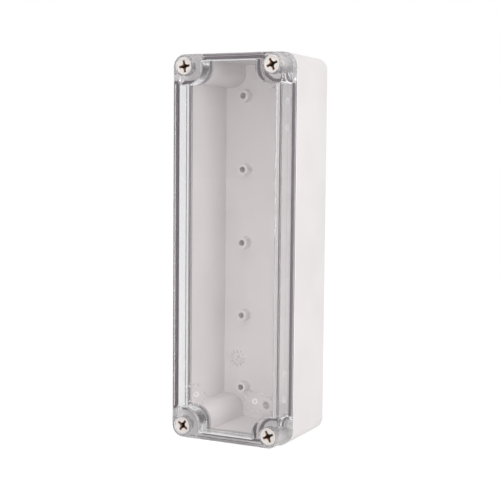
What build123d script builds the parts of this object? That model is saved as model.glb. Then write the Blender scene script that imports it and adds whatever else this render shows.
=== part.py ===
"""A long wall box: moulded base, deep clear lid, gasket and four plastic lid screws.

Units are millimetres. The box stands on its short end: X runs across the width, Y from the
lid's front face to the flat back, and Z up the height. The origin is under the middle of the box.
"""

import os

from build123d import *

os.makedirs("parts", exist_ok=True)

# Case outline
case_width = 80.0
case_height = 250.0
base_depth = 50.0
lid_depth = 20.0
case_corner_radius = 9.0

# Base moulding
base_wall = 3.6
back_wall = 3.0
base_outer_draft = 1.2
base_inner_draft = 0.55
back_edge_radius = 3.8
rim_edge_chamfer = 0.4
base_inner_corner_radius = 1.0

# Screw posts at the four corners
screw_inset = 8.7
post_radius = 11.5

# Small bosses for a mounting plate, in two columns
boss_spacing_x = 40.0
boss_spacing_z = 50.0
boss_rows = 5
boss_radius = 4.0
boss_height = 6.0
boss_hole_radius = 2.1
boss_hole_depth = 7.5
boss_foot_chamfer = 0.5

# Wall fixing bosses on the centre line
fixing_spacing = 221.0
fixing_boss_radius = 5.6
fixing_hole_radius = 2.6

# Low round pad in the middle of the floor, where the plastic enters the mould
gate_pad_radius = 10.4
gate_pad_height = 0.35

# Lid moulding
lid_plate = 3.0
lid_seat_gap = 0.12
lid_opening_inset = 5.0
lid_outer_draft = 0.85
lid_inner_draft = 0.4
lid_step = 0.85
lid_lip_depth = 4.9
lid_front_edge_radius = 1.7
lid_lip_edge_radius = 0.95
lid_rear_edge_chamfer = 0.6
lid_inner_edge_radius = 0.8
lid_opening_corner_radius = 2.0

# Gasket groove in the lid and the rib of the base that presses into it
groove_inset = 2.25
groove_width = 1.85
groove_depth = 3.1
groove_corner_least = 0.5
gasket_thickness = 1.8
gasket_side_gap = 0.1
rib_width = 0.7

# Lid screws
screw_head_radius = 5.6
screw_head_gap = 0.3
screw_head_sink = 1.15
screw_pocket_depth = 10.0
screw_head_edge_chamfer = 0.35
screw_rim_width = 1.0
screw_dish_depth = 0.3
screw_dish_draft = 50.0
screw_shank_radius = 2.5
screw_shank_gap = 0.3
screw_grip = 14.0
screw_tip_chamfer = 0.8
screw_hole_spare = 3.0
recess_arm_width = 1.7
recess_arm_reach = 3.9
recess_lobe_radius = 1.5
recess_depth = 4.4
recess_taper = 8.0
recess_turn = {
    "top_left": 8.0,
    "top_right": 22.0,
    "bottom_left": 58.0,
    "bottom_right": 25.0,
}

# Places worked out from the sizes above
front_y = -(lid_depth + base_depth) / 2
parting_y = front_y + lid_depth
back_y = parting_y + base_depth
floor_y = back_y - back_wall
ceiling_y = front_y + lid_plate
lid_rear_y = parting_y - lid_seat_gap
lid_body_depth = lid_depth - lid_seat_gap
groove_floor_y = lid_rear_y - groove_depth
gasket_rear_y = groove_floor_y + gasket_thickness
middle_z = case_height / 2
screw_x = case_width / 2 - screw_inset
screw_z = case_height / 2 - screw_inset
screw_places = {
    "top_left": (-screw_x, screw_z),
    "top_right": (screw_x, screw_z),
    "bottom_left": (-screw_x, -screw_z),
    "bottom_right": (screw_x, -screw_z),
}
fixing_places = [(0, fixing_spacing / 2), (0, -fixing_spacing / 2)]
shank_hole_radius = screw_shank_radius + screw_shank_gap
pocket_radius = screw_head_radius + screw_head_gap
rib_height = parting_y - gasket_rear_y
dish_radius = screw_head_radius - screw_rim_width
head_y = front_y + screw_head_sink
seat_y = front_y + screw_pocket_depth
screw_tip_y = parting_y + screw_grip


def facing_front(y):
    """Plane across the box at depth y, seen from the front: its x is X and its y is Z."""
    return Plane(origin=(0, y, middle_z), x_dir=(1, 0, 0), z_dir=(0, -1, 0))


def facing_back(y):
    """Plane across the box at depth y, whose normal points to the back."""
    return Plane(origin=(0, y, middle_z), x_dir=(1, 0, 0), z_dir=(0, 1, 0))


def opening_face(inset, corner_radius):
    """Face of a cross-shaped opening that runs inset from the case outline and round the screw posts.

    Every line that goes round the opening is parallel to the others, so the post's
    rounding shrinks by as much as the line moves out towards the screw.
    """
    post = post_radius - (lid_opening_inset - inset)
    half_width = case_width / 2 - inset
    half_height = case_height / 2 - inset
    with BuildSketch() as opening:
        Rectangle(2 * half_width, 2 * (screw_z - post))
        Rectangle(2 * (screw_x - post), 2 * half_height)
        corners = opening.vertices()
        beside_posts = corners.filter_by(
            lambda v: abs(v.X) < half_width - post / 2 and abs(v.Y) < half_height - post / 2
        )
        fillet(beside_posts, post)
        outer_corners = [v for v in corners if v not in beside_posts]
        fillet(outer_corners, corner_radius)
    return opening.sketch


def concentric_corner(inset):
    """Corner radius of a line round the opening, parallel to the base's inner corner."""
    return max(groove_corner_least, base_inner_corner_radius + base_wall - inset)


# Base moulding, with its open side towards the lid
with BuildPart() as base:
    with BuildSketch(facing_back(parting_y)):
        RectangleRounded(case_width, case_height, case_corner_radius)
    extrude(amount=base_depth, taper=base_outer_draft)
    fillet(base.faces().sort_by(Axis.Y)[-1].edges(), back_edge_radius)
    chamfer(base.faces().sort_by(Axis.Y)[0].edges(), rim_edge_chamfer)

    # Inside, with the four screw columns left standing
    with BuildSketch(facing_back(parting_y)):
        add(opening_face(base_wall, base_inner_corner_radius))
    extrude(amount=base_depth - back_wall, taper=base_inner_draft, mode=Mode.SUBTRACT)

    # Small bosses and wall fixing bosses stand on the floor
    with BuildSketch(facing_front(floor_y)):
        with GridLocations(boss_spacing_x, boss_spacing_z, 2, boss_rows):
            Circle(boss_radius)
        with Locations(fixing_places):
            Circle(fixing_boss_radius)
    extrude(amount=boss_height)
    floor_face = base.faces().filter_by(Axis.Y).sort_by(SortBy.AREA)[-2]
    feet = floor_face.edges().filter_by(GeomType.CIRCLE).filter_by(lambda e: e.is_closed)
    chamfer(feet, boss_foot_chamfer)
    with BuildSketch(facing_front(floor_y)):
        Circle(gate_pad_radius)
    extrude(amount=gate_pad_height)

    # Blind holes of the small bosses, and fixing holes right through the back
    with Locations(facing_front(floor_y - boss_height)):
        with GridLocations(boss_spacing_x, boss_spacing_z, 2, boss_rows):
            Hole(boss_hole_radius, boss_hole_depth)
        with Locations(fixing_places):
            Hole(fixing_hole_radius)

    # Blind holes for the lid screws in the tops of the corner columns
    with Locations(facing_front(parting_y)):
        with Locations(list(screw_places.values())):
            Hole(shank_hole_radius, screw_grip + screw_hole_spare)

    # Rib that presses into the gasket
    with BuildSketch(facing_front(parting_y)):
        add(opening_face(base_wall - rib_width, concentric_corner(base_wall - rib_width)))
        add(opening_face(base_wall, base_inner_corner_radius), mode=Mode.SUBTRACT)
    extrude(amount=rib_height)

base.part.label = "base"
export_step(base.part, "parts/base.step")

# Clear lid: front plate, side walls, solid corner posts and the lip that faces the base
with BuildPart() as lid:
    with BuildSketch(facing_front(lid_rear_y)):
        RectangleRounded(case_width, case_height, case_corner_radius)
    extrude(amount=lid_lip_depth)
    fillet(lid.faces().sort_by(Axis.Y)[0].edges(), lid_lip_edge_radius)
    chamfer(lid.faces().sort_by(Axis.Y)[-1].edges(), lid_rear_edge_chamfer)
    with BuildSketch(facing_front(lid_rear_y)):
        RectangleRounded(case_width - 2 * lid_step, case_height - 2 * lid_step, case_corner_radius - lid_step)
    extrude(amount=lid_body_depth, taper=lid_outer_draft)
    fillet(lid.faces().sort_by(Axis.Y)[0].edges(), lid_front_edge_radius)

    # Hollow behind the front plate
    with BuildSketch(facing_front(lid_rear_y)):
        add(opening_face(lid_opening_inset, lid_opening_corner_radius))
    extrude(amount=lid_body_depth - lid_plate, taper=lid_inner_draft, mode=Mode.SUBTRACT)
    ceiling = lid.faces().filter_by(Axis.Y).sort_by(lambda f: abs(f.center().Y - ceiling_y))[0]
    fillet(ceiling.edges(), lid_inner_edge_radius)

    # Groove for the gasket, in the face towards the base
    with BuildSketch(facing_front(lid_rear_y)):
        add(opening_face(groove_inset, concentric_corner(groove_inset)))
        add(opening_face(groove_inset + groove_width, concentric_corner(groove_inset + groove_width)),
            mode=Mode.SUBTRACT)
    extrude(amount=groove_depth, mode=Mode.SUBTRACT)

    # Screw pockets from the front, each with a hole for the shank
    with Locations(facing_front(front_y)):
        with Locations(list(screw_places.values())):
            CounterBoreHole(shank_hole_radius, pocket_radius, screw_pocket_depth)

lid.part.label = "lid"
export_step(lid.part, "parts/lid.step")

# Gasket ring between the floor of the groove and the base's rib, which holds the lid off the base
with BuildPart() as gasket:
    ring_outside = groove_inset + gasket_side_gap
    ring_inside = groove_inset + groove_width - gasket_side_gap
    with BuildSketch(facing_front(gasket_rear_y)):
        add(opening_face(ring_outside, concentric_corner(ring_outside)))
        add(opening_face(ring_inside, concentric_corner(ring_inside)), mode=Mode.SUBTRACT)
    extrude(amount=gasket_thickness)

gasket.part.label = "gasket"
export_step(gasket.part, "parts/gasket.step")

# Cutter for the cross recess, with rounded lobes of plastic left between its arms
with BuildPart() as recess:
    with BuildSketch() as cross:
        Rectangle(2 * recess_arm_reach, recess_arm_width)
        Rectangle(recess_arm_width, 2 * recess_arm_reach)
        lobes = cross.vertices().filter_by(lambda v: Vector(v).length < recess_arm_reach)
        fillet(lobes, recess_lobe_radius)
    extrude(amount=recess_depth, taper=recess_taper)

# Four lid screws, each with a deep dished head, a cross recess and a plain shank
for corner, screw_place in screw_places.items():
    with BuildPart() as screw:
        with BuildSketch(facing_front(seat_y)):
            with Locations(screw_place):
                Circle(screw_head_radius)
        extrude(amount=seat_y - head_y)
        chamfer(screw.faces().sort_by(Axis.Y)[0].edges(), screw_head_edge_chamfer)
        with BuildSketch(facing_front(screw_tip_y)):
            with Locations(screw_place):
                Circle(screw_shank_radius)
        extrude(amount=screw_tip_y - seat_y)
        chamfer(screw.faces().sort_by(Axis.Y)[-1].edges(), screw_tip_chamfer)
        with BuildSketch(facing_back(head_y)):
            with Locations((screw_place[0], -screw_place[1])):
                Circle(dish_radius)
        extrude(amount=screw_dish_depth, taper=screw_dish_draft, mode=Mode.SUBTRACT)
        in_head = Location((screw_place[0], -screw_place[1], 0), (0, 0, -recess_turn[corner]))
        with Locations(facing_back(head_y).location * in_head):
            add(recess.part, mode=Mode.SUBTRACT)

    screw.part.label = "lid_screw_" + corner
    export_step(screw.part, "parts/lid_screw_" + corner + ".step")
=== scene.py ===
"""Looks of a long wall box: grey moulded base, deep clear lid, seal and ivory lid screws.

Every length is in metres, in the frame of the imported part: X across the box, Y from the lid's
front face to the flat back, Z up, with the origin under the middle of the box.
"""

import logging
import math
from dataclasses import dataclass, field
from enum import Enum

import bmesh
import bpy
import numpy as np
from mathutils import Matrix, Vector


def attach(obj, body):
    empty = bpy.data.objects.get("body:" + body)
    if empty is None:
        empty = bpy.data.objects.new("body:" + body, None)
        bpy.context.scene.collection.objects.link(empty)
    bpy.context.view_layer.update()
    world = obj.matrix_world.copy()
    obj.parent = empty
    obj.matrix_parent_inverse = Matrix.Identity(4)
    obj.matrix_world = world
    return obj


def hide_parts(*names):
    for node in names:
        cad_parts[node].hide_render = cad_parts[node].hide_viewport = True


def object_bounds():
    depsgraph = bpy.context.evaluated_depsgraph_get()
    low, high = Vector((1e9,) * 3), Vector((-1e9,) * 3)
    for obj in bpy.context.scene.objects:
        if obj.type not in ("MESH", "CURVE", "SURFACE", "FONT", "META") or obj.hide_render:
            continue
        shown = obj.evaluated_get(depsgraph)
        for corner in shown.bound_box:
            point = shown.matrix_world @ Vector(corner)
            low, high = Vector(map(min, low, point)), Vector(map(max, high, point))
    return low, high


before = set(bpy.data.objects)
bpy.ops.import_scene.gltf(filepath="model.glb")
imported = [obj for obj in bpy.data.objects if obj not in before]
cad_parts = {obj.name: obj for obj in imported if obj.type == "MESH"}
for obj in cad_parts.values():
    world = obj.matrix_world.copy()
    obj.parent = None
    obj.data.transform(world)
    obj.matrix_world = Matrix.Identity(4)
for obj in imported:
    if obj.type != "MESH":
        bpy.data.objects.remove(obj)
cad_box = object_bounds()

log = logging.getLogger("wall_box")
MM = 0.001


def linear(red: float, green: float, blue: float) -> tuple[float, float, float, float]:
    """Turns a display colour of 0 to 255 into the linear values that shaders take.

    Args:
        red: Display red, 0 to 255.
        green: Display green, 0 to 255.
        blue: Display blue, 0 to 255.

    Returns:
        Linear red, green and blue with an alpha of 1.
    """
    display = np.array([red, green, blue]) / 255.0
    toe = display / 12.92
    curve = ((display + 0.055) / 1.055) ** 2.4
    value = np.where(display <= 0.04045, toe, curve)
    return (float(value[0]), float(value[1]), float(value[2]), 1.0)


class SocketKind(Enum):
    """Kinds of socket that the node groups use."""

    NUMBER = "NodeSocketFloat"
    VECTOR = "NodeSocketVector"


class Effect(Enum):
    """Shader node groups that the finishes share, each built once."""

    MOULD_GRAIN = "mould_grain"
    FLOW_WAVES = "flow_waves"
    HANDLING = "handling_marks"
    RECESS = "recess_depth"


@dataclass(frozen=True)
class Bounds:
    """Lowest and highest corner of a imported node, in metres."""

    low: np.ndarray
    high: np.ndarray

    @staticmethod
    def of(name: str) -> "Bounds":
        """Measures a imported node.

        Args:
            name: The node's name in the frame.

        Returns:
            The box round all its vertices.
        """
        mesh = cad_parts[name].data
        flat = np.empty(len(mesh.vertices) * 3)
        mesh.vertices.foreach_get("co", flat)
        places = flat.reshape(-1, 3)
        return Bounds(places.min(axis=0), places.max(axis=0))


@dataclass(frozen=True)
class BoxLines:
    """Lines that the looks are built from: some lengths of the mouldings, and what follows from them."""

    screw_inset: float = 8.7 * MM
    post_radius: float = 11.5 * MM
    opening_inset: float = 5.0 * MM
    inner_corner: float = 4.6 * MM
    least_corner: float = 0.5 * MM
    lid_plate: float = 3.0 * MM
    back_wall: float = 3.0 * MM
    inner_draft: float = math.radians(0.4)

    @property
    def half_width(self) -> float:
        """Half the width of the box."""
        return float(cad_box[1][0] - cad_box[0][0]) / 2

    @property
    def half_height(self) -> float:
        """Half the height of the box."""
        return float(cad_box[1][2] - cad_box[0][2]) / 2

    @property
    def middle(self) -> float:
        """Height of the middle of the box."""
        return float(cad_box[1][2] + cad_box[0][2]) / 2

    @property
    def screw(self) -> tuple[float, float]:
        """A screw's distance from the middle, across and up."""
        return self.half_width - self.screw_inset, self.half_height - self.screw_inset

    @property
    def ceiling(self) -> float:
        """Depth of the rear face of the lid's plate."""
        return float(cad_box[0][1]) + self.lid_plate

    @property
    def floor(self) -> float:
        """Depth of the base's floor."""
        return float(cad_box[1][1]) - self.back_wall

    def lid_wall(self, depth: float) -> float:
        """Half the width of the lid's hollow at a depth: it narrows by the draft towards the front."""
        rear = float(Bounds.of("lid").high[1])
        return self.half_width - self.opening_inset - (rear - depth) * math.tan(self.inner_draft)


@dataclass(frozen=True)
class OpeningLine:
    """A closed line parallel to the box's opening, at an inset from the outline."""

    inset: float
    lines: BoxLines
    straight_steps: int = 60
    arc_steps: int = 8
    top_steps: int = 8
    short_steps: int = 4

    def points(self) -> np.ndarray:
        """Runs once round the line: straights, rounded corners and the arcs round the screw posts.

        The arc round a post has the screw as its centre and the radius
        post_radius - (opening_inset - inset), so all such lines are parallel. Two lines
        of different inset have the same number of points, at the same stretches.

        Returns:
            Points of X and Z, one a row, counter-clockwise seen from the front.
        """
        lines = self.lines
        across, up = lines.half_width - self.inset, lines.half_height - self.inset
        screw_x, screw_z = lines.screw
        post = lines.post_radius - (lines.opening_inset - self.inset)
        corner = max(lines.least_corner, lines.inner_corner - self.inset)
        side_end, top_end = screw_z - post, screw_x - post
        quarter = np.concatenate([
            self.straight((across, 0.0), (across, side_end - corner), self.straight_steps),
            self.arc((across - corner, side_end - corner), corner, 0.0, 90.0),
            self.straight((across - corner, side_end), (screw_x, side_end), self.short_steps),
            self.arc((screw_x, screw_z), post, 270.0, 180.0),
            self.straight((top_end, screw_z), (top_end, up - corner), self.short_steps),
            self.arc((top_end - corner, up - corner), corner, 0.0, 90.0),
            self.straight((top_end - corner, up), (0.0, up), self.top_steps),
        ])
        left = quarter[::-1] * (-1.0, 1.0)
        half = np.concatenate([quarter, left[:-1]])
        loop = np.concatenate([half, half * (-1.0, -1.0)])
        return loop + (0.0, lines.middle)

    @staticmethod
    def straight(start: tuple[float, float], end: tuple[float, float], steps: int) -> np.ndarray:
        """Even steps from start towards end, without the end."""
        share = np.linspace(0.0, 1.0, steps, endpoint=False)[:, None]
        return np.array(start) * (1.0 - share) + np.array(end) * share

    def arc(self, centre: tuple[float, float], radius: float, first: float, last: float) -> np.ndarray:
        """Even steps round a centre from one angle towards another, in degrees, without the last."""
        turn = np.radians(np.linspace(first, last, self.arc_steps, endpoint=False))
        return np.array(centre) + radius * np.stack([np.cos(turn), np.sin(turn)], axis=1)


@dataclass(frozen=True)
class Seat:
    """A flat place on a wall: its middle, two directions along the wall and one out of it."""

    middle: tuple[float, float, float]
    along: tuple[float, float, float]
    upward: tuple[float, float, float]
    outward: tuple[float, float, float]

    def place(self, local: np.ndarray) -> np.ndarray:
        """Turns rows of along, upward and outward lengths into places of the part."""
        return np.array(self.middle) + local @ np.array([self.along, self.upward, self.outward])


class Shell:
    """Gathers the vertices and faces of one piece."""

    def __init__(self) -> None:
        """Starts with nothing."""
        self.vertices: list[np.ndarray] = []
        self.faces: list[tuple[int, ...]] = []
        self.count = 0

    def keep(self, vertices: np.ndarray) -> int:
        """Keeps some vertices and returns the number of the first."""
        first = self.count
        self.vertices.append(vertices)
        self.count += len(vertices)
        return first

    def tube(self, points: np.ndarray) -> None:
        """Adds a closed tube.

        Args:
            points: Rows along the tube, columns round its section, and X, Y and Z. Both
                the rows and the columns close on themselves.
        """
        rows, columns = points.shape[:2]
        first = self.keep(points.reshape(-1, 3))
        for row in range(rows):
            ahead = (row + 1) % rows
            for column in range(columns):
                beside = (column + 1) % columns
                self.faces.append((
                    first + row * columns + column,
                    first + ahead * columns + column,
                    first + ahead * columns + beside,
                    first + row * columns + beside,
                ))

    def ring(self, seat: Seat, radius: float, thick: float, lift: float, steps: int = 40,
             bead_steps: int = 8) -> None:
        """Adds a round bead: (radius + t cos b) round the seat's middle, t sin b out of the wall.

        Args:
            seat: The place on the wall.
            radius: Radius of the bead's middle line.
            thick: Radius of the bead's section.
            lift: Distance of the bead's middle line from the wall.
            steps: Steps round the ring.
            bead_steps: Steps round the bead's section.
        """
        turn = np.linspace(0.0, 2 * math.pi, steps, endpoint=False)[:, None]
        bead = -np.linspace(0.0, 2 * math.pi, bead_steps, endpoint=False)[None, :]
        reach = radius + thick * np.cos(bead)
        out = np.broadcast_to(lift + thick * np.sin(bead), (steps, bead_steps))
        local = np.stack([reach * np.cos(turn), reach * np.sin(turn), out], axis=2)
        self.tube(seat.place(local.reshape(-1, 3)).reshape(local.shape))

    def bar(self, seat: Seat, start: tuple[float, float], end: tuple[float, float], width: float,
            lift: float, height: float) -> None:
        """Adds a raised stroke with sloping sides.

        Args:
            seat: The place on the wall.
            start: Along and upward length of one end.
            end: Along and upward length of the other end.
            width: Width of its foot, which reaches a quarter of that past each end. The top is
                half as wide.
            lift: Distance of its foot from the wall.
            height: Height of its top above its foot.
        """
        first_end, last_end = np.array(start), np.array(end)
        run = (last_end - first_end) / np.linalg.norm(last_end - first_end)
        side = np.array([-run[1], run[0]])
        round_the_foot = ((first_end, -1, -1), (last_end, 1, -1), (last_end, 1, 1), (first_end, -1, 1))
        corners = []
        for half, level in ((width / 2, lift), (width / 4, lift + height)):
            for end_place, back, sign in round_the_foot:
                flat = end_place + run * back * half / 2 + side * sign * half
                corners.append((flat[0], flat[1], level))
        first = self.keep(seat.place(np.array(corners)))
        foot, top = [first + k for k in range(4)], [first + 4 + k for k in range(4)]
        self.faces += [tuple(foot), tuple(reversed(top))]
        for k in range(4):
            after = (k + 1) % 4
            self.faces.append((foot[k], top[k], top[after], foot[after]))

    def piece(self, name: str, finish: "Finish", body: str, slot: str) -> bpy.types.Object:
        """Makes the object with its faces turned outwards.

        Args:
            name: Name of the piece.
            finish: The finish that it wears.
            body: The body that it rides on.
            slot: Name of the record's material slot; not used.

        Returns:
            The new object, at the origin, with its place in its mesh.
        """
        mesh = bpy.data.meshes.new(name)
        mesh.from_pydata(np.concatenate(self.vertices).tolist(), [], self.faces)
        shape = bmesh.new()
        shape.from_mesh(mesh)
        bmesh.ops.recalc_face_normals(shape, faces=shape.faces)
        shape.to_mesh(mesh)
        shape.free()
        mesh.shade_smooth()
        mesh.materials.append(finish.make())
        made = bpy.data.objects.new(name, mesh)
        bpy.context.scene.collection.objects.link(made)
        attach(made, body)
        return made


class NodeSheet:
    """A node tree with short ways to add and join nodes."""

    def __init__(self, tree: bpy.types.NodeTree) -> None:
        """Keeps the tree that nodes are added to."""
        self.tree = tree

    def add(self, kind: str, **values: object) -> bpy.types.Node:
        """Adds a node.

        Args:
            kind: The node's Blender type, without its leading ShaderNode.
            **values: Properties set on the node itself.

        Returns:
            The new node.
        """
        node = self.tree.nodes.new(kind if kind.startswith("NodeGroup") else "ShaderNode" + kind)
        for name, value in values.items():
            setattr(node, name, value)
        return node

    def feed(self, socket: bpy.types.NodeSocket, source: object) -> None:
        """Joins an output to an input, or sets the input's own value."""
        if isinstance(source, bpy.types.NodeSocket):
            self.tree.links.new(source, socket)
        else:
            socket.default_value = source

    def maths(self, operation: str, *sources: object) -> bpy.types.NodeSocket:
        """Adds a Math node over the given sockets or numbers and returns its output."""
        node = self.add("Math", operation=operation)
        for socket, source in zip(node.inputs, sources):
            self.feed(socket, source)
        return node.outputs[0]

    def ramp(self, source: object, low: float, high: float, to_low: float = 0.0,
             to_high: float = 1.0) -> bpy.types.NodeSocket:
        """Maps source from low..high to to_low..to_high with a smooth step."""
        node = self.add("MapRange", interpolation_type="SMOOTHSTEP")
        for name, value in (("Value", source), ("From Min", low), ("From Max", high),
                            ("To Min", to_low), ("To Max", to_high)):
            self.feed(node.inputs[name], value)
        return node.outputs["Result"]

    def mix(self, share: object, first: object, second: object) -> bpy.types.NodeSocket:
        """Mixes two colours by a share of the second and returns the colour."""
        node = self.add("Mix", data_type="RGBA")
        self.feed(node.inputs["Factor"], share)
        self.feed(node.inputs[6], first)
        self.feed(node.inputs[7], second)
        return node.outputs[2]

    def noise(self, place: object, scale: float, detail: float = 2.0,
              roughness: float = 0.5) -> bpy.types.NodeSocket:
        """Adds a noise texture over a place and returns its value."""
        node = self.add("TexNoise")
        self.feed(node.inputs["Vector"], place)
        self.feed(node.inputs["Scale"], scale)
        self.feed(node.inputs["Detail"], detail)
        self.feed(node.inputs["Roughness"], roughness)
        return node.outputs["Fac"]

    def stretched(self, place: object, scale: tuple[float, float, float]) -> bpy.types.NodeSocket:
        """Scales a place by three factors, one an axis."""
        node = self.add("Mapping")
        self.feed(node.inputs["Vector"], place)
        node.inputs["Scale"].default_value = scale
        return node.outputs["Vector"]

    def group(self, effect: Effect, **values: object) -> bpy.types.Node:
        """Places a shared effect with its own input values, underscores standing for spaces."""
        node = self.add("Group", node_tree=shared_effect(effect))
        for name, value in values.items():
            self.feed(node.inputs[name.replace("_", " ")], value)
        return node


def new_group(effect: Effect, inputs: dict[str, tuple[SocketKind, float]],
              outputs: tuple[str, ...]) -> tuple[NodeSheet, bpy.types.Node, bpy.types.Node]:
    """Starts a shared node group.

    Args:
        effect: The effect that the group makes.
        inputs: Socket names with their kind and first value.
        outputs: Names of the number outputs.

    Returns:
        The sheet to add nodes to, the group's input node and its output node.
    """
    tree = bpy.data.node_groups.new(effect.value, "ShaderNodeTree")
    for name, (kind, value) in inputs.items():
        socket = tree.interface.new_socket(name, in_out="INPUT", socket_type=kind.value)
        if kind is SocketKind.NUMBER:
            socket.default_value = value
    for name in outputs:
        tree.interface.new_socket(name, in_out="OUTPUT", socket_type=SocketKind.NUMBER.value)
    sheet = NodeSheet(tree)
    return sheet, sheet.add("NodeGroupInput"), sheet.add("NodeGroupOutput")


def shared_effect(effect: Effect) -> bpy.types.NodeTree:
    """Returns the effect's node group, built the first time that it is asked for."""
    made = bpy.data.node_groups.get(effect.value)
    if made is not None:
        return made
    builders = {
        Effect.MOULD_GRAIN: build_mould_grain,
        Effect.FLOW_WAVES: build_flow_waves,
        Effect.HANDLING: build_handling_marks,
        Effect.RECESS: build_recess_depth,
    }
    return builders[effect]()


def build_mould_grain() -> bpy.types.NodeTree:
    """Spark-eroded mould skin and its tone.

    The height is 0.7 of a fine noise plus 0.3 of one about three times as coarse. The tone is a
    slow noise, with patches of some 45 mm.
    """
    sheet, given, made = new_group(
        Effect.MOULD_GRAIN,
        {"Place": (SocketKind.VECTOR, 0.0), "Grain Size": (SocketKind.NUMBER, 0.0004)},
        ("Height", "Tone"),
    )
    pitch = sheet.maths("DIVIDE", 1.0, given.outputs["Grain Size"])
    fine = sheet.noise(given.outputs["Place"], pitch, detail=3.0, roughness=0.6)
    coarse = sheet.noise(given.outputs["Place"], sheet.maths("MULTIPLY", pitch, 0.31), detail=1.0)
    slow = sheet.noise(given.outputs["Place"], 22.0, detail=2.0)
    height = sheet.maths("ADD", sheet.maths("MULTIPLY", fine, 0.7), sheet.maths("MULTIPLY", coarse, 0.3))
    sheet.feed(made.inputs["Height"], height)
    sheet.feed(made.inputs["Tone"], slow)
    return sheet.tree


def build_flow_waves() -> bpy.types.NodeTree:
    """Slow waves that moulding leaves in clear plastic, drawn out along Z, the way that it flowed."""
    sheet, given, made = new_group(
        Effect.FLOW_WAVES,
        {"Place": (SocketKind.VECTOR, 0.0), "Wave Length": (SocketKind.NUMBER, 0.012)},
        ("Height",),
    )
    drawn = sheet.stretched(given.outputs["Place"], (1.0, 1.0, 0.22))
    pitch = sheet.maths("DIVIDE", 1.0, given.outputs["Wave Length"])
    waves = sheet.noise(drawn, pitch, detail=1.0)
    sheet.feed(made.inputs["Height"], waves)
    return sheet.tree


def build_handling_marks() -> bpy.types.NodeTree:
    """Sparse hairline rubs: a thin band round the middle value of a stretched noise, in patches."""
    sheet, given, made = new_group(
        Effect.HANDLING,
        {"Place": (SocketKind.VECTOR, 0.0), "Amount": (SocketKind.NUMBER, 0.5)},
        ("Mask",),
    )
    drawn = sheet.stretched(given.outputs["Place"], (60.0, 60.0, 520.0))
    lines = sheet.noise(drawn, 1.0, detail=3.0)
    off_middle = sheet.maths("ABSOLUTE", sheet.maths("SUBTRACT", lines, 0.5))
    thin = sheet.ramp(off_middle, 0.0, 0.012, 1.0, 0.0)
    patches = sheet.ramp(sheet.noise(given.outputs["Place"], 55.0), 0.52, 0.72)
    mask = sheet.maths("MULTIPLY", sheet.maths("MULTIPLY", thin, patches), given.outputs["Amount"])
    sheet.feed(made.inputs["Mask"], mask)
    return sheet.tree


def build_recess_depth() -> bpy.types.NodeTree:
    """Depth below a screw's face, counted only within a radius of the nearest screw's axis.

    The box is symmetric, so the nearest axis is at |x| = Screw X and |z - Middle| = Screw Z.
    """
    sheet, given, made = new_group(
        Effect.RECESS,
        {"Place": (SocketKind.VECTOR, 0.0), "Screw X": (SocketKind.NUMBER, 0.0),
         "Screw Z": (SocketKind.NUMBER, 0.0), "Middle": (SocketKind.NUMBER, 0.0),
         "Face Y": (SocketKind.NUMBER, 0.0), "Reach": (SocketKind.NUMBER, 0.005)},
        ("Depth",),
    )
    parts = sheet.add("SeparateXYZ")
    sheet.feed(parts.inputs[0], given.outputs["Place"])
    across = sheet.maths("SUBTRACT", sheet.maths("ABSOLUTE", parts.outputs["X"]), given.outputs["Screw X"])
    height = sheet.maths("SUBTRACT", parts.outputs["Z"], given.outputs["Middle"])
    up = sheet.maths("SUBTRACT", sheet.maths("ABSOLUTE", height), given.outputs["Screw Z"])
    squares = sheet.maths("ADD", sheet.maths("MULTIPLY", across, across), sheet.maths("MULTIPLY", up, up))
    within = sheet.maths("LESS_THAN", sheet.maths("SQRT", squares), given.outputs["Reach"])
    depth = sheet.maths("SUBTRACT", parts.outputs["Y"], given.outputs["Face Y"])
    sheet.feed(made.inputs["Depth"], sheet.maths("MULTIPLY", depth, within))
    return sheet.tree


class Finish:
    """A material with a Principled shader at its heart, read in the object's own coordinates.

    Where a finish has a skin, its two values are the bump's strength and its distance in metres.
    """

    name = "finish"

    def make(self) -> bpy.types.Material:
        """Builds the material, or returns the one built before.

        Returns:
            The finished material.
        """
        made = bpy.data.materials.get(self.name)
        if made is not None:
            return made
        material = bpy.data.materials.new(self.name)
        material.use_nodes = True
        sheet = NodeSheet(material.node_tree)
        shader = material.node_tree.nodes["Principled BSDF"]
        place = sheet.add("TexCoord").outputs["Object"]
        self.dress(sheet, shader, place)
        return material

    def dress(self, sheet: NodeSheet, shader: bpy.types.Node, place: bpy.types.NodeSocket) -> None:
        """Sets the shader's sockets; each finish has its own."""
        raise NotImplementedError

    @staticmethod
    def bump(sheet: NodeSheet, shader: bpy.types.Node, height: object, strength: float,
             distance: float) -> None:
        """Feeds a height through a Bump node to the shader's normal."""
        node = sheet.add("Bump")
        sheet.feed(node.inputs["Height"], height)
        node.inputs["Strength"].default_value = strength
        node.inputs["Distance"].default_value = distance
        sheet.feed(shader.inputs["Normal"], node.outputs["Normal"])


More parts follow.
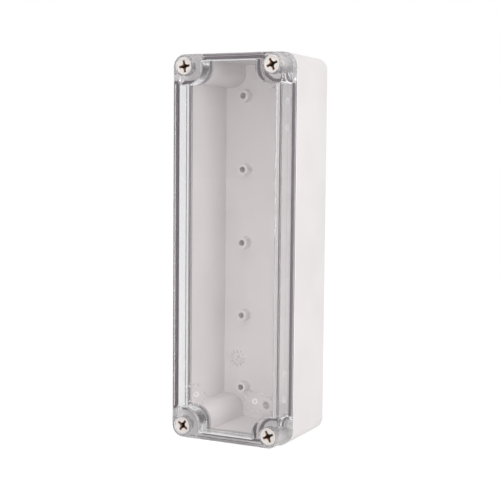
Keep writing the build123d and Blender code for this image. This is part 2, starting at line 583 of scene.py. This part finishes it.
@dataclass(frozen=True)
class CasePlastic(Finish):
    """Warm light grey moulded plastic with a satin, finely grained skin."""

    name: str = "case_plastic_satin"
    colour: tuple[float, float, float, float] = linear(235, 230, 230)
    shade: tuple[float, float, float, float] = linear(230, 225, 225)
    roughness: float = 0.42
    index: float = 1.5
    grain_size: float = 0.00045
    rub_amount: float = 0.35
    rub_polish: float = 0.15
    tone_roughness: float = 0.06
    skin: tuple[float, float] = (0.25, 0.00004)

    def dress(self, sheet: NodeSheet, shader: bpy.types.Node, place: bpy.types.NodeSocket) -> None:
        """Grain to the normal, a slow drift of tone to colour and roughness, faint rubs on top."""
        grain = sheet.group(Effect.MOULD_GRAIN, Place=place, Grain_Size=self.grain_size)
        rubs = sheet.group(Effect.HANDLING, Place=place, Amount=self.rub_amount).outputs["Mask"]
        tone = sheet.ramp(grain.outputs["Tone"], 0.3, 0.7)
        sheet.feed(shader.inputs["Base Color"], sheet.mix(tone, self.colour, self.shade))
        rough = sheet.maths("ADD", sheet.maths("MULTIPLY", tone, self.tone_roughness), self.roughness)
        polished = sheet.maths("MULTIPLY", rubs, self.rub_polish)
        sheet.feed(shader.inputs["Roughness"], sheet.maths("SUBTRACT", rough, polished))
        shader.inputs["IOR"].default_value = self.index
        self.bump(sheet, shader, grain.outputs["Height"], *self.skin)


@dataclass(frozen=True)
class ClearPlastic(Finish):
    """Clear moulded polycarbonate: polished with slow flow waves, and matt inside the screw pockets."""

    name: str = "clear_plastic_polished"
    colour: tuple[float, float, float, float] = (0.906, 0.904, 0.909, 1.0)
    index: float = 1.585
    shadow: tuple[float, float, float, float] = (0.93, 0.93, 0.935, 1.0)
    pocket_reach: float = 8.9 * MM
    pocket_depths: tuple[float, float] = (0.8 * MM, 1.6 * MM)
    pocket_roughness: float = 0.42
    wave_length: float = 0.014
    skin: tuple[float, float] = (0.06, 0.00002)

    def dress(self, sheet: NodeSheet, shader: bpy.types.Node, place: bpy.types.NodeSocket) -> None:
        """Plain transmission, rougher down round the screws, and lamps let through to what is inside."""
        lines = BoxLines()
        screw_x, screw_z = lines.screw
        pocket = sheet.group(Effect.RECESS, Place=place, Screw_X=screw_x, Screw_Z=screw_z,
                             Middle=lines.middle, Face_Y=float(cad_box[0][1]), Reach=self.pocket_reach)
        shader.inputs["Base Color"].default_value = self.colour
        sheet.feed(shader.inputs["Roughness"],
                   sheet.ramp(pocket.outputs["Depth"], *self.pocket_depths, 0.0, self.pocket_roughness))
        shader.inputs["IOR"].default_value = self.index
        shader.inputs["Transmission Weight"].default_value = 1.0
        waves = sheet.group(Effect.FLOW_WAVES, Place=place, Wave_Length=self.wave_length)
        self.bump(sheet, shader, waves.outputs["Height"], *self.skin)
        clear = sheet.add("BsdfTransparent")
        clear.inputs["Color"].default_value = self.shadow
        path = sheet.add("LightPath")
        mixed = sheet.add("MixShader")
        sheet.feed(mixed.inputs["Fac"], path.outputs["Is Shadow Ray"])
        sheet.feed(mixed.inputs[1], shader.outputs["BSDF"])
        sheet.feed(mixed.inputs[2], clear.outputs["BSDF"])
        sheet.feed(sheet.tree.nodes["Material Output"].inputs["Surface"], mixed.outputs["Shader"])


@dataclass(frozen=True)
class SealFoam(Finish):
    """Dark soft seal with a fine closed-cell skin."""

    name: str = "seal_foam"
    colour: tuple[float, float, float, float] = linear(106, 98, 105)
    shade: tuple[float, float, float, float] = linear(120, 112, 119)
    roughness: float = 0.85
    grain_size: float = 0.0005
    skin: tuple[float, float] = (0.4, 0.0001)

    def dress(self, sheet: NodeSheet, shader: bpy.types.Node, place: bpy.types.NodeSocket) -> None:
        """Cells to the normal and a speckled tone."""
        grain = sheet.group(Effect.MOULD_GRAIN, Place=place, Grain_Size=self.grain_size)
        sheet.feed(shader.inputs["Base Color"], sheet.mix(grain.outputs["Height"], self.colour, self.shade))
        shader.inputs["Roughness"].default_value = self.roughness
        self.bump(sheet, shader, grain.outputs["Height"], *self.skin)


@dataclass(frozen=True)
class FrostedMark(Finish):
    """Clear plastic with the matt skin of an engraved mould insert: it scatters light and reads bright."""

    name: str = "clear_plastic_frosted"
    colour: tuple[float, float, float, float] = linear(254, 253, 254)
    index: float = 1.585
    transmission: float = 0.08
    roughness: tuple[float, float] = (0.35, 0.6)
    grain_size: float = 0.0002
    skin: tuple[float, float] = (0.2, 0.00002)

    def dress(self, sheet: NodeSheet, shader: bpy.types.Node, place: bpy.types.NodeSocket) -> None:
        """Nearly all scattered light and a little rough transmission, with the shared grain."""
        grain = sheet.group(Effect.MOULD_GRAIN, Place=place, Grain_Size=self.grain_size)
        shader.inputs["Base Color"].default_value = self.colour
        matt = sheet.ramp(grain.outputs["Height"], 0.0, 1.0, *self.roughness)
        sheet.feed(shader.inputs["Roughness"], matt)
        shader.inputs["IOR"].default_value = self.index
        shader.inputs["Transmission Weight"].default_value = self.transmission
        self.bump(sheet, shader, grain.outputs["Height"], *self.skin)


@dataclass(frozen=True)
class ScrewPlastic(Finish):
    """Ivory moulded plastic of the lid screws, with painted shade down in the cross recess."""

    name: str = "screw_plastic_ivory"
    colour: tuple[float, float, float, float] = linear(223, 217, 215)
    shade: tuple[float, float, float, float] = linear(218, 212, 208)
    # painted shade for the cross recess: brown near the head's face, near black deep down
    recess_shade_brown: tuple[float, float, float, float] = linear(158, 124, 98)
    recess_shade_black: tuple[float, float, float, float] = linear(34, 20, 14)
    roughness: float = 0.38
    index: float = 1.5
    grain_size: float = 0.0003
    skin: tuple[float, float] = (0.2, 0.00003)
    head_sink: float = 1.15 * MM
    recess_reach: float = 4.2 * MM
    recess_shade_brown_depths: tuple[float, float] = (0.31 * MM, 0.6 * MM)
    recess_shade_black_depths: tuple[float, float] = (0.9 * MM, 3.6 * MM)

    def dress(self, sheet: NodeSheet, shader: bpy.types.Node, place: bpy.types.NodeSocket) -> None:
        """Ivory with a slow tone; in the recess a painted shade sinks it to brown and then to near black
        deep down.
        """
        lines = BoxLines()
        screw_x, screw_z = lines.screw
        grain = sheet.group(Effect.MOULD_GRAIN, Place=place, Grain_Size=self.grain_size)
        ivory = sheet.mix(sheet.ramp(grain.outputs["Tone"], 0.35, 0.65), self.colour, self.shade)
        recess = sheet.group(Effect.RECESS, Place=place, Screw_X=screw_x, Screw_Z=screw_z,
                             Middle=lines.middle, Face_Y=float(cad_box[0][1]) + self.head_sink,
                             Reach=self.recess_reach)
        # painted shade: darker with depth below the head's face, within the recess's reach
        brown = sheet.mix(sheet.ramp(recess.outputs["Depth"], *self.recess_shade_brown_depths), ivory, self.recess_shade_brown)
        dark = sheet.mix(sheet.ramp(recess.outputs["Depth"], *self.recess_shade_black_depths), brown, self.recess_shade_black)
        sheet.feed(shader.inputs["Base Color"], dark)
        shader.inputs["Roughness"].default_value = self.roughness
        shader.inputs["IOR"].default_value = self.index
        self.bump(sheet, shader, grain.outputs["Height"], *self.skin)


def seeing_ray(sheet: NodeSheet) -> bpy.types.NodeSocket:
    """Gives 1 for camera, glossy and transmission rays, which see the white surroundings, else 0."""
    path = sheet.add("LightPath")
    seen = sheet.maths("MAXIMUM", path.outputs["Is Camera Ray"], path.outputs["Is Glossy Ray"])
    return sheet.maths("MAXIMUM", seen, path.outputs["Is Transmission Ray"])


@dataclass(frozen=True)
class StudioFloor(Finish):
    """White floor: it glows white to the camera and in clear plastic, and keeps a faint shadow."""

    name: str = "studio_floor"
    colour: tuple[float, float, float, float] = (0.9, 0.9, 0.9, 1.0)
    shadow_part: tuple[float, float, float, float] = (0.14, 0.14, 0.14, 1.0)
    glow: float = 0.93
    roughness: float = 0.8

    def dress(self, sheet: NodeSheet, shader: bpy.types.Node, place: bpy.types.NodeSocket) -> None:
        """Matte to lamps and bounced light; a glow plus a weak matte layer to rays that see it."""
        shader.inputs["Base Color"].default_value = self.colour
        shader.inputs["Roughness"].default_value = self.roughness
        glow = sheet.add("Emission")
        glow.inputs["Strength"].default_value = self.glow
        weak = sheet.add("BsdfDiffuse")
        weak.inputs["Color"].default_value = self.shadow_part
        both = sheet.add("AddShader")
        sheet.feed(both.inputs[0], glow.outputs["Emission"])
        sheet.feed(both.inputs[1], weak.outputs["BSDF"])
        mixed = sheet.add("MixShader")
        sheet.feed(mixed.inputs["Fac"], seeing_ray(sheet))
        sheet.feed(mixed.inputs[1], shader.outputs["BSDF"])
        sheet.feed(mixed.inputs[2], both.outputs["Shader"])
        sheet.feed(sheet.tree.nodes["Material Output"].inputs["Surface"], mixed.outputs["Shader"])


@dataclass
class Base:
    """The grey moulded base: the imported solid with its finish, and the month dial on its floor."""

    node: str = "base"
    finish: Finish = field(default_factory=CasePlastic)
    dial_across: float = -26.0 * MM
    dial_height: float = 44.0 * MM
    dial_radius: float = 5.7 * MM
    hub_radius: float = 2.1 * MM
    ray_start: float = 3.6 * MM
    marks: int = 12
    stroke: float = 0.6 * MM
    proud: float = 0.7 * MM
    sunk: float = 0.02 * MM
    arrow_tip: tuple[float, float] = (0.9 * MM, 1.2 * MM)
    arrow_feet: tuple[tuple[float, float], ...] = (
        (-0.9 * MM, -1.2 * MM),
        (0.0, 1.0 * MM),
        (0.9 * MM, 0.1 * MM),
    )

    def build(self) -> list[bpy.types.Object]:
        """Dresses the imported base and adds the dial.

        Returns:
            The pieces of the base.
        """
        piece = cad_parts[self.node]
        piece.data.materials[0] = self.finish.make()
        return [piece, self.build_dial()]

    def build_dial(self) -> bpy.types.Object:
        """Raises a month dial on the floor: a hub ring, a ray for each month, and an arrow in the hub.

        Returns:
            The dial as one piece, sunk a little into the floor.
        """
        seat = Seat((self.dial_across, BoxLines().floor, self.dial_height),
                    (1.0, 0.0, 0.0), (0.0, 0.0, 1.0), (0.0, -1.0, 0.0))
        shell = Shell()
        shell.ring(seat, self.hub_radius, self.stroke / 2, self.sunk)
        for month in range(self.marks):
            turn = 2 * math.pi * month / self.marks
            way = np.array([math.cos(turn), math.sin(turn)])
            inner, outer = way * self.ray_start, way * self.dial_radius
            shell.bar(seat, tuple(inner), tuple(outer), self.stroke, -self.sunk, self.proud)
        for foot in self.arrow_feet:
            shell.bar(seat, self.arrow_tip, foot, self.stroke, -self.sunk, self.proud)
        return shell.piece("mould_dial", self.finish, "base", "case_plastic")


@dataclass
class Lid:
    """The clear lid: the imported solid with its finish, and the marks that its mould leaves inside."""

    node: str = "lid"
    finish: Finish = field(default_factory=ClearPlastic)
    mark_finish: Finish = field(default_factory=FrostedMark)
    insert_across: float = 21.5 * MM
    insert_height: float = 30.0 * MM
    insert_radius: float = 1.45 * MM
    insert_bead: float = 0.45 * MM
    numbers: int = 12
    number_length: float = 1.3 * MM
    number_width: float = 0.9 * MM
    number_height: float = 0.14 * MM
    number_radius: float = 6.4 * MM
    pin_depth: float = -23.2 * MM
    pin_heights: tuple[float, float] = (77.6 * MM, 93.9 * MM)
    pin_radius: float = 1.7 * MM
    bead: float = 0.2 * MM
    air: float = 0.02 * MM

    def build(self) -> list[bpy.types.Object]:
        """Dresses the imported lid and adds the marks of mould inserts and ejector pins.

        Returns:
            The pieces of the lid.
        """
        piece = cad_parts[self.node]
        piece.data.materials[0] = self.finish.make()
        return [piece, self.build_inserts(), self.build_pins()]

    def build_inserts(self) -> bpy.types.Object:
        """Makes two small insert rings behind the plate, each in a circle of strokes for its numbers.

        Returns:
            The marks as one piece, just clear of the plate's rear face.
        """
        shell = Shell()
        for side in (-1.0, 1.0):
            seat = Seat((side * self.insert_across, BoxLines().ceiling, self.insert_height),
                        (1.0, 0.0, 0.0), (0.0, 0.0, 1.0), (0.0, 1.0, 0.0))
            shell.ring(seat, self.insert_radius, self.insert_bead, self.insert_bead + self.air)
            for number in range(self.numbers):
                turn = 2 * math.pi * (number + 0.5) / self.numbers
                way = np.array([math.cos(turn), math.sin(turn)])
                inner, outer = way * self.number_radius, way * (self.number_radius + self.number_length)
                shell.bar(seat, tuple(inner), tuple(outer), self.number_width, self.air, self.number_height)
        return shell.piece("lid_insert_marks", self.mark_finish, "lid", "clear_plastic")

    def build_pins(self) -> bpy.types.Object:
        """Makes the thin rings that ejector pins leave inside the two long walls.

        Returns:
            The rings as one piece, just clear of the walls.
        """
        lines = BoxLines()
        wall = lines.lid_wall(self.pin_depth)
        shell = Shell()
        for side in (-1.0, 1.0):
            for height in self.pin_heights:
                for way in (-1.0, 1.0):
                    seat = Seat((side * wall, self.pin_depth, lines.middle + way * height),
                                (0.0, 1.0, 0.0), (0.0, 0.0, 1.0), (-side, 0.0, 0.0))
                    shell.ring(seat, self.pin_radius, self.bead, self.bead + 2 * self.air)
        return shell.piece("lid_pin_marks", self.mark_finish, "lid", "clear_plastic")


@dataclass
class Seal:
    """The foam seal: it wets the floor and outer side of the lid's groove, and the rib presses into it."""

    node: str = "gasket"
    finish: Finish = field(default_factory=SealFoam)
    side_gap: float = 0.1 * MM
    wet: float = 0.03 * MM
    inner_gap: float = 0.1 * MM
    groove_width: float = 1.85 * MM
    rib_insets: tuple[float, float] = (2.9 * MM, 3.6 * MM)
    flank_reach: float = 0.6 * MM
    edge: float = 0.12 * MM
    wave: float = 0.04 * MM
    wave_counts: tuple[int, ...] = (7, 17, 41)

    def section(self, outer: float, inner: float, front: float, rear: float) -> list[tuple[float, float]]:
        """Corners of the section, as inset and depth: a strip whose two flanks hang down beside the rib.

        Args:
            outer: Inset of its outer side.
            inner: Inset of its inner side.
            front: Depth of its front face.
            rear: Depth at which it meets the rib.

        Returns:
            The corners in order round the section.
        """
        first, last = self.rib_insets
        low = rear + self.flank_reach
        e = self.edge
        return [
            (outer, front + e), (outer + e, front), (inner - e, front), (inner, front + e),
            (inner, low - e), (inner - e, low), (last + e, low), (last, rear + e), (last, rear),
            (first, rear), (first, rear + e), (first - e, low), (outer + e, low), (outer, low - e),
        ]

    def build(self) -> list[bpy.types.Object]:
        """Runs the section round the opening, a little uneven as squeezed foam is.

        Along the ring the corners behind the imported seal's rear face change in depth by wave times the
        mean of sin(n t), where n takes each wave count and t goes once round.

        Returns:
            The one piece made.
        """
        lines = BoxLines()
        box = Bounds.of(self.node)
        width = float(box.high[0] - box.low[0])
        outer = lines.half_width - width / 2 - self.side_gap - self.wet
        inner = outer + self.groove_width + self.wet - self.inner_gap
        corners = self.section(outer, inner, float(box.low[1]) - self.wet, float(box.high[1]) - self.wet)
        rings = []
        for inset, depth in corners:
            line = OpeningLine(inset, lines).points()
            turn = np.linspace(0.0, 2 * math.pi, len(line), endpoint=False)
            uneven = sum(np.sin(count * turn) for count in self.wave_counts) / len(self.wave_counts)
            hanging = depth > float(box.high[1])
            rings.append(np.stack([line[:, 0], depth + hanging * self.wave * uneven, line[:, 1]], axis=1))
        shell = Shell()
        shell.tube(np.stack(rings, axis=1))
        piece = shell.piece("seal", self.finish, "lid", "gasket_foam")
        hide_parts(self.node)
        return [piece]


@dataclass
class LidScrews:
    """The four lid screws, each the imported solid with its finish."""

    prefix: str = "lid_screw_"
    finish: Finish = field(default_factory=ScrewPlastic)

    def build(self) -> list[bpy.types.Object]:
        """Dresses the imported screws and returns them."""
        pieces = [piece for name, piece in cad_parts.items() if name.startswith(self.prefix)]
        for piece in pieces:
            piece.data.materials[0] = self.finish.make()
        return pieces


@dataclass(frozen=True)
class Lamp:
    """A square soft lamp that faces the middle of the box.

    The outer faces of the lid mirror no lamp. A lamp that isn't seen through clear plastic leaves no
    mirror image on the plate's rear face either, and lights what is behind the lid by shadow rays alone.
    """

    name: str
    place: tuple[float, float, float]
    size: float
    watts: float
    through_plastic: bool = True

    def build(self) -> None:
        """Hangs the lamp."""
        light = bpy.data.lights.new(self.name, "AREA")
        light.shape = "SQUARE"
        light.size = self.size
        light.energy = self.watts
        lamp = bpy.data.objects.new(self.name, light)
        bpy.context.scene.collection.objects.link(lamp)
        lamp.visible_glossy = False
        lamp.visible_transmission = self.through_plastic
        low, high = cad_box
        away = Vector(self.place) - (low + high) / 2
        lamp.location = self.place
        lamp.rotation_euler = away.to_track_quat("Z", "Y").to_euler()


@dataclass
class Studio:
    """White floor, surroundings and soft lamps at a plain level."""

    floor_half: float = 6.0
    floor_drop: float = 0.02 * MM
    surroundings: float = 0.6
    lamps: tuple[Lamp, ...] = (
        Lamp("right", (1.1, -0.5, 0.25), 0.4, 4.1),
        Lamp("overhead", (0.05, -0.5, 1.1), 0.8, 3.4),
        Lamp("front", (0.3, -1.0, 0.12), 0.2, 2.0, through_plastic=False),
    )

    def build(self) -> None:
        """Makes the floor, the world and the lamps."""
        self.make_floor()
        self.make_world()
        for lamp in self.lamps:
            lamp.build()

    def make_floor(self) -> None:
        """Lays a flat square under the box."""
        h, z = self.floor_half, -self.floor_drop
        mesh = bpy.data.meshes.new("floor")
        mesh.from_pydata([(-h, -h, z), (h, -h, z), (h, h, z), (-h, h, z)], [], [(0, 1, 2, 3)])
        mesh.materials.append(StudioFloor().make())
        floor = bpy.data.objects.new("floor", mesh)
        bpy.context.scene.collection.objects.link(floor)

    def make_world(self) -> None:
        """Lights evenly, and shows pure white to the camera and through gloss and clear plastic."""
        world = bpy.data.worlds.new("studio")
        bpy.context.scene.world = world
        world.use_nodes = True
        sheet = NodeSheet(world.node_tree)
        lit = world.node_tree.nodes["Background"]
        lit.inputs["Color"].default_value = (1.0, 1.0, 1.0, 1.0)
        lit.inputs["Strength"].default_value = self.surroundings
        white = sheet.add("Background")
        white.inputs["Color"].default_value = (1.0, 1.0, 1.0, 1.0)
        mixed = sheet.add("MixShader")
        sheet.feed(mixed.inputs["Fac"], seeing_ray(sheet))
        sheet.feed(mixed.inputs[1], lit.outputs["Background"])
        sheet.feed(mixed.inputs[2], white.outputs["Background"])
        sheet.feed(world.node_tree.nodes["World Output"].inputs["Surface"], mixed.outputs["Shader"])


@dataclass
class Camera:
    """The camera that the picture was taken from, in the part's frame."""

    place: tuple[float, float, float] = (0.370531, -0.700987, 0.189301)
    yaw: float = math.radians(27.885)
    down: float = math.radians(4.791)
    roll: float = math.radians(0.529)
    focal_pixels: float = 1208.517
    frame_pixels: float = 500.0
    sensor: float = 36.0
    clip: tuple[float, float] = (0.05, 30.0)

    def build(self) -> None:
        """Places the camera: its axes are worked out from yaw, then pitch down, then roll."""
        right = np.array([math.cos(self.yaw), math.sin(self.yaw), 0.0])
        ahead = np.array([-math.sin(self.yaw), math.cos(self.yaw), 0.0])
        up = np.array([0.0, 0.0, 1.0])
        forward = math.cos(self.down) * ahead - math.sin(self.down) * up
        raised = math.sin(self.down) * ahead + math.cos(self.down) * up
        image_x = math.cos(self.roll) * right + math.sin(self.roll) * raised
        image_y = -math.sin(self.roll) * right + math.cos(self.roll) * raised
        data = bpy.data.cameras.new("camera")
        data.sensor_width = self.sensor
        data.lens = self.focal_pixels * self.sensor / self.frame_pixels
        data.clip_start, data.clip_end = self.clip
        camera = bpy.data.objects.new("camera", data)
        bpy.context.scene.collection.objects.link(camera)
        axes = np.eye(4)
        axes[:3, 0], axes[:3, 1], axes[:3, 2], axes[:3, 3] = image_x, image_y, -forward, self.place
        camera.matrix_world = Matrix(axes.tolist())
        bpy.context.scene.camera = camera


def main() -> None:
    """Builds and dresses the box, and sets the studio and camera."""
    logging.basicConfig(level=logging.INFO, format="%(name)s: %(message)s")
    scene = bpy.context.scene
    scene.view_settings.view_transform = "Standard"
    scene.cycles.max_bounces = 40
    scene.cycles.transmission_bounces = 40
    scene.cycles.glossy_bounces = 24
    scene.cycles.transparent_max_bounces = 24
    for assembly in (Base(), Lid(), Seal(), LidScrews()):
        for piece in assembly.build():
            log.info("%s: %s, %d faces", type(assembly).__name__, piece.name, len(piece.data.polygons))
    Studio().build()
    Camera().build()


if __name__ == "__main__":
    main()
